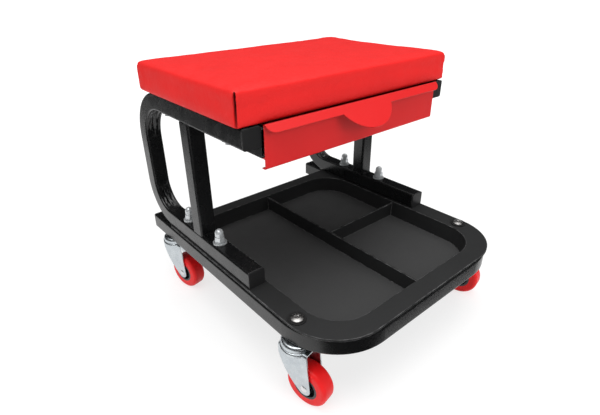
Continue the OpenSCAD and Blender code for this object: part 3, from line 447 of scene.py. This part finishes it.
# Posts: short square tubes welded between foot rail and seat rail, with a bead of weld in
# the corners at their front and back.
give(["post_left", "post_right"], powder_coat)
bead = 0.0018
bead_cuts = 7
cut_gap = 0.0024
bead_wave = 0.0008
for side in ("left", "right"):
    low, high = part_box("post_" + side)
    x = (low.x + high.x) / 2
    for end, y in (("front", low.y), ("back", high.y)):
        for level, z in (("foot", low.z), ("head", high.z)):
            bpy.ops.mesh.primitive_cylinder_add(vertices=16, radius=bead, depth=tube - 2 * tube_corner,
                                                location=(x, y, z), rotation=(0, math.pi / 2, 0))
            weld = bpy.context.object
            weld.name = "weld_%s_%s_%s" % (side, end, level)
            bpy.ops.object.transform_apply(location=True, rotation=True, scale=True)
            bpy.ops.object.mode_set(mode="EDIT")
            for i in range(bead_cuts):
                bpy.ops.mesh.select_all(action="SELECT")
                bpy.ops.mesh.bisect(plane_co=(x + (i - bead_cuts // 2) * cut_gap, 0, 0), plane_no=(1, 0, 0))
            bpy.ops.object.mode_set(mode="OBJECT")
            for vertex in weld.data.vertices:
                out = Vector((0, vertex.co.y - y, vertex.co.z - z))
                ripple = 0.25 * math.sin(vertex.co.x / bead_wave) + 0.3 * noise.noise(vertex.co * 400)
                vertex.co += out * ripple
            weld.select_set(True)
            bpy.ops.object.shade_smooth_by_angle(angle=math.radians(60))
            bpy.ops.object.select_all(action="DESELECT")
            weld.data.materials.append(powder_coat)
            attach(weld, "frame")

# Tray: one moulding of black plastic that rests with its rim on the base, with a well between
# the tubes and two low dividers. Its edges are a little round, and light is painted on its
# up-facing floors, which show paler than its walls and rim.
def eased_copy(node_name, name, width, angle):
    """A copy of a solid with its doubles merged, its flat faces whole and its edges rounded."""
    source = nodes[node_name]
    piece = bpy.data.objects.new(name, source.data.copy())
    bpy.context.collection.objects.link(piece)
    bpy.context.view_layer.objects.active = piece
    piece.select_set(True)
    bpy.ops.object.mode_set(mode="EDIT")
    bpy.ops.mesh.select_all(action="SELECT")
    bpy.ops.mesh.remove_doubles(threshold=touching)
    bpy.ops.mesh.dissolve_limited(angle_limit=math.radians(0.5))
    bpy.ops.object.mode_set(mode="OBJECT")
    if "custom_normal" in piece.data.attributes:
        bpy.ops.mesh.customdata_custom_splitnormals_clear()
    round_edges = piece.modifiers.new("round_edges", "BEVEL")
    round_edges.width = width
    round_edges.segments = 2
    round_edges.limit_method = "ANGLE"
    round_edges.angle_limit = math.radians(angle)
    bpy.ops.object.modifier_apply(modifier="round_edges")
    smoothed(piece, angle)
    return piece


def recoloured(material, share, low=None, high=None):
    """Mixes a colour into a finish, where share is low or where it is high."""
    tree = material.node_tree
    base = tree.nodes["Principled BSDF"].inputs["Base Color"]
    own = base.links[0].from_socket
    tree.links.new(mixed_colour(tree, share, low or own, high or own), base)


tray_plastic = finish_of("tray_plastic", (0.011, 0.0113, 0.0116), (0.014, 0.0143, 0.0146),
                         (0.24, 0.24, 0.243), (0.56, 0.66), edge_radius=0.0014, cloud_size=0.09,
                         grain_size=0.0012, grain_depth=0.00005)
tray_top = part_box("tray")[1].z
rim_depth = 0.004
floor_depth = 0.008
tree = tray_plastic.node_tree
# Painted light: surfaces of the tray that face up and lie below the rim get a paler colour.
place = shader_node(tree, "ShaderNodeTexCoord")
height = shader_node(tree, "ShaderNodeSeparateXYZ", {"Vector": place.outputs["Object"]})
upward = shader_node(tree, "ShaderNodeSeparateXYZ", {"Vector": place.outputs["Normal"]})
below_rim = shader_node(tree, "ShaderNodeMapRange",
                        {"Value": height.outputs["Z"], "From Min": tray_top - rim_depth,
                         "From Max": tray_top - floor_depth})
level = shader_node(tree, "ShaderNodeMapRange",
                    {"Value": upward.outputs["Z"], "From Min": 0.7, "From Max": 0.95})
painted_floor_light = shader_node(tree, "ShaderNodeMath",
                         {0: below_rim.outputs["Result"], 1: level.outputs["Result"]}, operation="MULTIPLY")
recoloured(tray_plastic, painted_floor_light.outputs["Value"], high=(0.046, 0.0462, 0.0465))
tray = eased_copy("tray", "moulded_tray", width=0.0006, angle=30)
tray.material_slots[0].material = tray_plastic
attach(tray, "frame")
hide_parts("tray")

# Bolts, washers and nuts: zinc-plated steel, with shade painted into its hollows. The casters' bolts are
# bare steel with low round heads, and black washers lie under the two that hold the tray.
zinc = finish_of("zinc_plating", (0.76, 0.79, 0.81), (0.82, 0.85, 0.86), (0.94, 0.95, 0.96),
                 (0.3, 0.38), edge_radius=0.0005, cloud_size=0.012, grain_size=0.0012,
                 grain_depth=0.000006, Metallic=0.6)
# Painted shade: ambient occlusion darkens the zinc where it lies in hollows.
hollow_shade = shader_node(zinc.node_tree, "ShaderNodeAmbientOcclusion", {"Distance": 0.004}, samples=8)
recoloured(zinc, hollow_shade.outputs["AO"], low=(0.05, 0.05, 0.05))
give(["frame_bolts", "frame_washers", "spring_washers", "cap_nuts", "caster_nuts", "seat_bolts",
      "seat_washers", "tee_nuts"], zinc)
bare_steel = finish_of("bare_steel", (0.34, 0.33, 0.32), (0.42, 0.41, 0.4), (0.8, 0.8, 0.8), (0.3, 0.4),
                       edge_radius=0.0008, cloud_size=0.008, grain_depth=0.000006, Metallic=1.0)
give(["caster_bolts"], bare_steel)
washer_black = finish_of("black_oxide", (0.01, 0.01, 0.01), (0.014, 0.014, 0.014), (0.03, 0.03, 0.03),
                         (0.35, 0.5), edge_radius=0.0004, grain_size=0.0005, grain_depth=0.00002)
give(["tray_washers"], washer_black)

# Casters: pressed cups and forks of zinc-plated sheet with a ring of balls between them, a
# riveted axle with a steel sleeve, and red polyurethane treads moulded round black cores.
zinc_sheet = finish_of("zinc_sheet", (0.5, 0.54, 0.57), (0.6, 0.64, 0.66), (0.85, 0.87, 0.88),
                       (0.24, 0.4), edge_radius=0.0007, cloud_size=0.014, grain_depth=0.00003,
                       Metallic=1.0)
polished_steel = finish_of("polished_steel", (0.66, 0.67, 0.68), (0.74, 0.74, 0.75), (0.85, 0.85, 0.85),
                           (0.14, 0.24), edge_radius=0.0004, cloud_size=0.008, grain_depth=0.00001,
                           Metallic=1.0)
core_plastic = finish_of("core_plastic", (0.012, 0.014, 0.016), (0.018, 0.02, 0.023), (0.07, 0.08, 0.09),
                         (0.26, 0.38), edge_radius=0.0008, cloud_size=0.01, grain_depth=0.00002)
red_tread = finish_of("red_tread", (0.88, 0.009, 0.01), (0.8, 0.008, 0.009), (0.9, 0.03, 0.03),
                      (0.38, 0.5), edge_radius=0.0008, cloud_size=0.01, grain_size=0.0015,
                      Specular_IOR_Level=0.35)
for corner in ("front_left", "front_right", "rear_left", "rear_right"):
    give(["caster_cup_" + corner, "fork_" + corner], zinc_sheet)
    give(["axle_" + corner, "sleeve_" + corner], polished_steel)
    give(["hub_" + corner], core_plastic)
    give(["tyre_" + corner], red_tread)
give(["caster_balls"], polished_steel)

# Drawer runners and slides: folded channels, the outer ones welded inside the seat rails and
# coated with them, the inner ones plated and fixed to the drawer's sides.
give(["drawer_runner_left", "drawer_runner_right"], powder_coat)
give(["drawer_slide_left", "drawer_slide_right"], zinc_sheet)

# Drawer: folded sheet steel with a smooth red coat. The front has a sloping lip along its top
# with a round pull tab, and a return along its bottom.
red_coat = finish_of("red_coat", (0.76, 0.008, 0.009), (0.71, 0.007, 0.008), (0.82, 0.05, 0.045),
                     (0.46, 0.56), cloud_size=0.08, grain_size=0.002, grain_depth=0.00003)


def dull_bounce(material):
    """Shows other surfaces a duller red, so that a red finish tints the black ones little."""
    bounced = any_ray(material.node_tree, "Is Diffuse Ray", "Is Glossy Ray")
    recoloured(material, bounced, high=(0.12, 0.09, 0.09))


dull_bounce(red_coat)
give(["drawer_front", "drawer_box"], red_coat)

# Seat board: a plywood panel under the foam, with tee nuts let into it for the seat's bolts.
# It is bare on its underside, inside the cover's flaps.
plywood = bpy.data.materials.new("plywood")
plywood.use_nodes = True
tree = plywood.node_tree
shader = tree.nodes["Principled BSDF"]
place = shader_node(tree, "ShaderNodeTexCoord")
stretch = shader_node(tree, "ShaderNodeMapping",
                      {"Vector": place.outputs["Object"], "Scale": (9, 160, 700)})
fibre = shader_node(tree, "ShaderNodeTexNoise", {"Vector": stretch.outputs[0], "Scale": 1.0, "Detail": 5.0,
                                                 "Distortion": 0.6})
grain = placed(tree, grain_group, size=0.0012, depth=0.00008,
               normal=placed(tree, edges_group, radius=0.0006)["Normal"])
tree.links.new(mixed_colour(tree, fibre.outputs["Fac"], (0.42, 0.27, 0.13), (0.66, 0.5, 0.3)),
               shader.inputs["Base Color"])
tree.links.new(grain["Normal"], shader.inputs["Normal"])
shader.inputs["Roughness"].default_value = 0.62
give(["seat_board"], plywood)

# Seat cushion: red vinyl stretched over foam and turned under the board. Each side is pulled
# flat between its corners, the top swells, and the vinyl is folded into a pleat at every corner.
cover_low, cover_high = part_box("seat_cover")
seat_middle = (cover_low + cover_high) / 2
seat_width = cover_high.x - cover_low.x
seat_depth = cover_high.y - cover_low.y
half_x = seat_width / 2
half_y = seat_depth / 2
seat_bottom = cover_low.z
side_height = 0.0415
seat_top = seat_bottom + side_height
start_outset = 0.0012
upright_bevel = 0.003
top_bevel = 0.006
bottom_bevel = 0.0015
voxel = 0.004

bpy.ops.mesh.primitive_cube_add(
    size=1, location=(seat_middle.x, seat_middle.y, seat_bottom + side_height / 2))
cushion = bpy.context.object
cushion.name = "vinyl_cushion"
cushion.scale = (seat_width + 2 * start_outset, seat_depth + 2 * start_outset, side_height)
bpy.ops.object.transform_apply(location=True, rotation=True, scale=True)


def select_edges(piece, wanted):
    """Selects the edges whose two ends are both wanted."""
    for part in (piece.data.vertices, piece.data.edges, piece.data.polygons):
        for item in part:
            item.select = False
    for edge in piece.data.edges:
        first, second = (piece.data.vertices[i].co for i in edge.vertices)
        edge.select = wanted(first, second)


def bevelled_edges(piece, wanted, width, segments):
    """Rounds the edges whose two ends are both wanted."""
    select_edges(piece, wanted)
    bpy.ops.object.mode_set(mode="EDIT")
    bpy.ops.mesh.select_mode(type="EDGE")
    bpy.ops.mesh.bevel(offset=width, segments=segments, affect="EDGES")
    bpy.ops.object.mode_set(mode="OBJECT")


bevelled_edges(cushion, lambda a, b: abs(a.z - b.z) > side_height / 2, upright_bevel, segments=6)
bevelled_edges(cushion, lambda a, b: min(a.z, b.z) > seat_top - 0.0001, top_bevel, segments=5)
bevelled_edges(cushion, lambda a, b: max(a.z, b.z) < seat_bottom + 0.0001, bottom_bevel, segments=3)
remesh = cushion.modifiers.new("remesh", "REMESH")
remesh.mode = "VOXEL"
remesh.voxel_size = voxel
bpy.ops.object.modifier_apply(modifier="remesh")
bpy.ops.object.shade_smooth()

held_height = 0.004
rest = [vertex.co.copy() for vertex in cushion.data.vertices]
held = cushion.vertex_groups.new(name="held")
for vertex in cushion.data.vertices:
    if vertex.co.z < seat_bottom + held_height:
        held.add([vertex.index], 1.0, "REPLACE")

cloth = cushion.modifiers.new("cloth", "CLOTH")
cloth.settings.use_pressure = True
cloth.settings.uniform_pressure_force = 4.0
cloth.settings.effector_weights.gravity = 0
cloth.settings.tension_stiffness = 18
cloth.settings.compression_stiffness = 18
cloth.settings.vertex_group_mass = "held"
cloth.collision_settings.use_collision = False
for step in range(1, 21):
    bpy.context.scene.frame_set(step)
bpy.ops.object.modifier_apply(modifier="cloth")
bpy.context.scene.frame_set(1)

most_swell = 0.005
kept_swell = 0.3
crown = 0.002
wide_crease = 0.0006
fine_crease = 0.0003
for vertex, start in zip(cushion.data.vertices, rest):
    moved = vertex.co - start
    if moved.length > most_swell:
        moved *= most_swell / moved.length
    vertex.co = start + kept_swell * moved
for vertex in cushion.data.vertices:
    across = (vertex.co.x - seat_middle.x) / half_x
    along = (vertex.co.y - seat_middle.y) / half_y
    rise = max(0, (vertex.co.z - seat_bottom) / side_height)
    vertex.co.z += crown * max(0, 1 - across ** 2) * max(0, 1 - along ** 2) * min(1, rise) ** 2
    crease = noise.noise(vertex.co * 22) * wide_crease + noise.noise(vertex.co * 55) * fine_crease
    vertex.co.z += crease * min(1, rise)
    if vertex.co.z < seat_bottom + 0.0003:
        vertex.co.z = seat_bottom

smoother = cushion.modifiers.new("smoother", "SUBSURF")
smoother.levels = 1
smoother.render_levels = 1
bpy.context.view_layer.objects.active = cushion
bpy.ops.object.modifier_apply(modifier="smoother")

# Pleats of the cushion: at each corner the vinyl is folded over itself and pulled down under
# the board. That leaves an upright slit, deepest below the top, with slightly raised lips.
slit_low = seat_bottom + 0.002
slit_high = seat_top - 0.002
slit_half = 0.0018
slit_depth = 0.009
slit_reach = 0.02
lip_height = 0.0004
lip_end = 2.6
cuts = [-2.4, -1.0, -0.4, 0.0, 0.4, 1.0, 2.4]


def level_way(corner, point):
    """The way from a corner of the seat to a point, without its height."""
    return Vector((point.x - corner.x, point.y - corner.y, 0))


for sign_x in (-1, 1):
    for sign_y in (-1, 1):
        corner = Vector((seat_middle.x + sign_x * half_x, seat_middle.y + sign_y * half_y, 0))
        inward = Vector((-sign_x, -sign_y, 0)).normalized()
        sideways = Vector((-inward.y, inward.x, 0))
        for cut in cuts:
            for face in cushion.data.polygons:
                near = level_way(corner, face.center).length < slit_reach + 0.002
                face.select = near and slit_low - 0.004 < face.center.z < slit_high + 0.004
            bpy.ops.object.mode_set(mode="EDIT")
            bpy.ops.mesh.select_mode(type="FACE")
            bpy.ops.mesh.bisect(plane_co=corner + sideways * (cut * slit_half), plane_no=sideways)
            bpy.ops.mesh.select_all(action="DESELECT")
            bpy.ops.object.mode_set(mode="OBJECT")
        for vertex in cushion.data.vertices:
            from_corner = level_way(corner, vertex.co)
            if from_corner.length > slit_reach or not slit_low < vertex.co.z < slit_high:
                continue
            offset = abs(from_corner.dot(sideways)) / slit_half
            height = (vertex.co.z - slit_low) / (slit_high - slit_low)
            taper = min(1, 0.35 + height, 8 * (1 - height))
            if offset < 1:
                vertex.co += inward * slit_depth * taper * (1 - offset) ** 0.7
            elif offset < lip_end:
                vertex.co -= inward * lip_height * taper * (lip_end - offset)
# Shade is painted into the slit of each pleat, strongest along its middle and towards its top.
pleat_shade_reach = 0.015
pleat_shade = cushion.data.attributes.new("pleat_shade", "FLOAT", "POINT")
for vertex in cushion.data.vertices:
    along_x = half_x - abs(vertex.co.x - seat_middle.x)
    along_y = half_y - abs(vertex.co.y - seat_middle.y)
    offset = abs(along_x - along_y) / math.sqrt(2) / slit_half
    height = (vertex.co.z - slit_low) / (slit_high - slit_low)
    if max(along_x, along_y) < pleat_shade_reach and offset < 1 and 0 < height < 1:
        pleat_shade.data[vertex.index].value = (1 - offset) * min(1, 0.3 + height)

# Underside of the cushion: the vinyl is turned under the board and fixed there. Its flaps run
# all round, and the board shows inside them. The vinyl has a fine pebbled grain.
flap = 0.032
vinyl_thickness = 0.0011
for face in cushion.data.polygons:
    inside_x = abs(face.center.x - seat_middle.x) < half_x - flap
    inside_y = abs(face.center.y - seat_middle.y) < half_y - flap
    face.select = inside_x and inside_y and face.center.z < seat_bottom + 0.002
bpy.ops.object.mode_set(mode="EDIT")
bpy.ops.mesh.delete(type="FACE")
bpy.ops.object.mode_set(mode="OBJECT")
skin = cushion.modifiers.new("skin", "SOLIDIFY")
skin.thickness = vinyl_thickness
skin.offset = -1
bpy.ops.object.modifier_apply(modifier="skin")
bpy.ops.object.shade_smooth()

vinyl = bpy.data.materials.new("red_vinyl")
vinyl.use_nodes = True
tree = vinyl.node_tree
shader = tree.nodes["Principled BSDF"]
place = shader_node(tree, "ShaderNodeTexCoord")
pebbles = shader_node(tree, "ShaderNodeTexVoronoi", {"Vector": place.outputs["Object"], "Scale": 750.0},
                      feature="SMOOTH_F1")
creases = shader_node(tree, "ShaderNodeTexNoise",
                      {"Vector": place.outputs["Object"], "Scale": 120.0, "Detail": 6.0, "Distortion": 0.8})
low_bump = shader_node(tree, "ShaderNodeBump", {"Strength": 1.0, "Distance": 0.0006,
                                                "Height": creases.outputs["Fac"]})
high_bump = shader_node(tree, "ShaderNodeBump", {"Strength": 1.0, "Distance": 0.0002,
                                                 "Height": pebbles.outputs["Distance"],
                                                 "Normal": low_bump.outputs[0]})
clouds = placed(tree, clouds_group, size=0.05)
gloss = placed(tree, clouds_group, size=0.02, low=0.56, high=0.66)
folded = shader_node(tree, "ShaderNodeAttribute", attribute_name="pleat_shade")
tree.links.new(mixed_colour(tree, clouds["Value"], (0.86, 0.006, 0.005), (0.81, 0.005, 0.004)),
               shader.inputs["Base Color"])
tree.links.new(gloss["Value"], shader.inputs["Roughness"])
tree.links.new(high_bump.outputs[0], shader.inputs["Normal"])
shader.inputs["Specular IOR Level"].default_value = 0.55
# Painted shade: the vinyl turns nearly black inside the pleats' slits.
recoloured(vinyl, folded.outputs["Fac"], high=(0.04, 0.001, 0.001))
dull_bounce(vinyl)
cushion.data.materials.append(vinyl)
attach(cushion, "frame")
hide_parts("seat_cover", "seat_foam")
